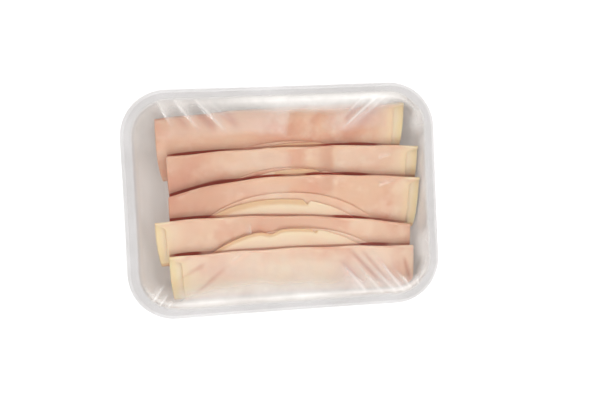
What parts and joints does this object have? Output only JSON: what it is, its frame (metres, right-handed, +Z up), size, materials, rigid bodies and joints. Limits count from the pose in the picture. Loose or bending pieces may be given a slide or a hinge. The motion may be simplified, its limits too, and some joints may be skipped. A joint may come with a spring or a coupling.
{
  "type": "sealed tray of folded mortadella slices",
  "caption": "Shallow rounded tray with a rolled flange and a clear lid film sealed over overlapping folded mortadella slices.",
  "frame": {"origin": "middle of the underside of the tray, on the surface that the pack rests on", "axes": "+X along the long side of the tray, +Y towards the far long side, +Z up through the lid film"},
  "size_m": [0.187, 0.1334, 0.0207],
  "materials": {
    "tray_plastic": "translucent white, satin",
    "film": "clear, glossy, lightly wrinkled",
    "meat": "moist, pale peach pink with a cream and yellow edge"
  },
  "bodies": {
    "root": {"tray": "tray_plastic", "lid_film": "film", "slice_1": "meat", "slice_2": "meat", "slice_3": "meat", "slice_4": "meat", "slice_5": "meat"}
  },
  "joints": []
}
